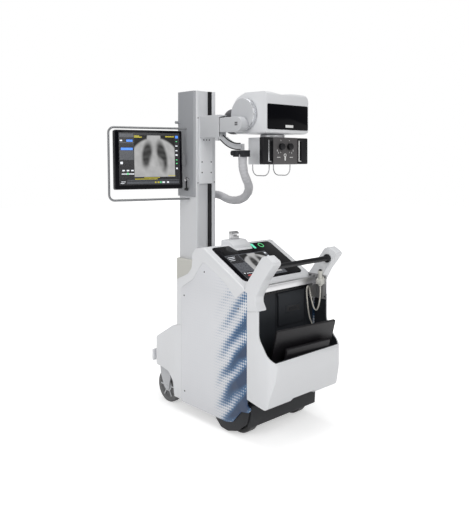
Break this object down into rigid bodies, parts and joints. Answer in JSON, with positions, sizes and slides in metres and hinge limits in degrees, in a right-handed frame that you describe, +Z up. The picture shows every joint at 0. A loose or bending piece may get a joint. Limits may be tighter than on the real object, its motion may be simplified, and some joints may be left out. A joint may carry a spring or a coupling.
{
  "type": "portable x-ray machine",
  "caption": "Portable x-ray machine on a motor-driven cart: turning column, lifting arm that telescopes, tilting tube head with swivelling collimator, side monitor and rear detector bin.",
  "frame": {"origin": "on the floor, below the centre of the whole machine's bounding box", "axes": "+Z is up, +Y is the driving direction towards the column, +X is the machine's right side; the handle and bin are at -Y"},
  "size_m": [1.0216, 1.1075, 1.93],
  "materials": {
    "frame_paint": "satin",
    "battery_case": "satin",
    "panel_white": "satin",
    "shell_white": "satin",
    "turret_paint": "satin",
    "console_black": "gloss",
    "latch_steel": "brushed",
    "bay_plastic": "matte",
    "trim_black": "matte",
    "grip_black": "matte",
    "rail_steel": "brushed",
    "detector_shell": "satin",
    "switch_plastic": "satin",
    "cord_rubber": "matte",
    "drive_tyre": "matte",
    "caster_paint": "satin",
    "caster_tyre": "matte",
    "column_paint": "satin",
    "cover_grey": "satin",
    "key_chrome": "polished",
    "frame_grey": "satin",
    "monitor_black": "gloss",
    "arm_grey": "satin",
    "clamp_black": "matte",
    "hose_grey": "matte",
    "disc_aluminium": "satin",
    "head_white": "satin",
    "collimator_grey": "satin",
    "wire_steel": "brushed"
  },
  "bodies": {
    "cart": {"chassis": "frame_paint", "power_block": "battery_case", "side_panel_left": "panel_white", "side_panel_right": "panel_white", "front_housing": "shell_white", "column_turret": "turret_paint", "top_cover": "shell_white", "console_glass": "console_black", "dock_latch": "latch_steel", "rear_bay": "bay_plastic", "bin": "shell_white", "bin_liner": "bay_plastic", "handle_arm_left": "shell_white", "handle_arm_right": "shell_white", "handle_bar": "grip_black", "cross_rail": "rail_steel", "skirt_left": "trim_black", "skirt_right": "trim_black", "rear_bumper": "trim_black", "detector_large": "detector_shell", "detector_small": "detector_shell", "switch_holder": "switch_plastic", "hand_switch": "switch_plastic", "switch_cord": "cord_rubber"},
    "door": {"bay_door": "bay_plastic"},
    "drive_left": {"drive_wheel_left": "drive_tyre"},
    "drive_right": {"drive_wheel_right": "drive_tyre"},
    "caster_left": {"caster_fork_left": "caster_paint"},
    "caster_right": {"caster_fork_right": "caster_paint"},
    "caster_roller_left": {"caster_wheel_left": "caster_tyre"},
    "caster_roller_right": {"caster_wheel_right": "caster_tyre"},
    "column": {"column_mast": "column_paint", "column_cover": "cover_grey", "lock_key": "key_chrome", "monitor_frame": "frame_grey", "monitor": "monitor_black"},
    "carriage": {"carriage_plate": "column_paint", "arm_outer": "arm_grey", "cable_guide": "arm_grey", "hose_clamp": "clamp_black", "hose": "hose_grey"},
    "arm": {"arm_inner": "arm_grey"},
    "head": {"trunnion_disc": "disc_aluminium", "tube_housing": "head_white", "head_glass": "console_black", "cable_loop": "hose_grey", "swivel_ring": "disc_aluminium"},
    "collimator": {"collimator_body": "head_white", "collimator_panel": "collimator_grey", "collimator_handles": "clamp_black", "spacer_wires": "wire_steel"}
  },
  "joints": [
    {"name": "column_turn", "type": "hinge", "parent": "cart", "child": "column", "pos_m": [0.07383, 0.39034, 0.864], "axis": [0, 0, 1], "range_deg": [-175, 175]},
    {"name": "carriage_lift", "type": "slide", "parent": "column", "child": "carriage", "axis": [0, 0, 1], "range_m": [-0.37, 0.14], "deforming": ["hose"]},
    {"name": "arm_extend", "type": "slide", "parent": "carriage", "child": "arm", "axis": [0, -1, 0], "range_m": [0, 0.12]},
    {"name": "head_tilt", "type": "hinge", "parent": "arm", "child": "head", "pos_m": [0.04883, -0.03666, 1.706], "axis": [1, 0, 0], "range_deg": [-90, 10]},
    {"name": "collimator_swivel", "type": "hinge", "parent": "head", "child": "collimator", "pos_m": [0.28983, -0.06966, 1.6], "axis": [0, 0, 1], "range_deg": [-90, 90]},
    {"name": "bay_door_hinge", "type": "hinge", "parent": "cart", "child": "door", "pos_m": [0.16483, -0.34566, 0.743], "axis": [-1, 0, 0], "range_deg": [0, 90]},
    {"name": "drive_spin_left", "type": "hinge", "parent": "cart", "child": "drive_left", "pos_m": [-0.12617, -0.23966, 0.1], "axis": [1, 0, 0], "continuous": true},
    {"name": "caster_swivel_left", "type": "hinge", "parent": "cart", "child": "caster_left", "pos_m": [-0.15117, 0.42034, 0.23], "axis": [0, 0, 1], "continuous": true},
    {"name": "caster_spin_left", "type": "hinge", "parent": "caster_left", "child": "caster_roller_left", "pos_m": [-0.15117, 0.38034, 0.1], "axis": [1, 0, 0], "continuous": true},
    {"name": "drive_spin_right", "type": "hinge", "parent": "cart", "child": "drive_right", "pos_m": [0.27383, -0.23966, 0.1], "axis": [1, 0, 0], "continuous": true},
    {"name": "caster_swivel_right", "type": "hinge", "parent": "cart", "child": "caster_right", "pos_m": [0.29883, 0.42034, 0.23], "axis": [0, 0, 1], "continuous": true},
    {"name": "caster_spin_right", "type": "hinge", "parent": "caster_right", "child": "caster_roller_right", "pos_m": [0.29883, 0.38034, 0.1], "axis": [1, 0, 0], "continuous": true}
  ]
}
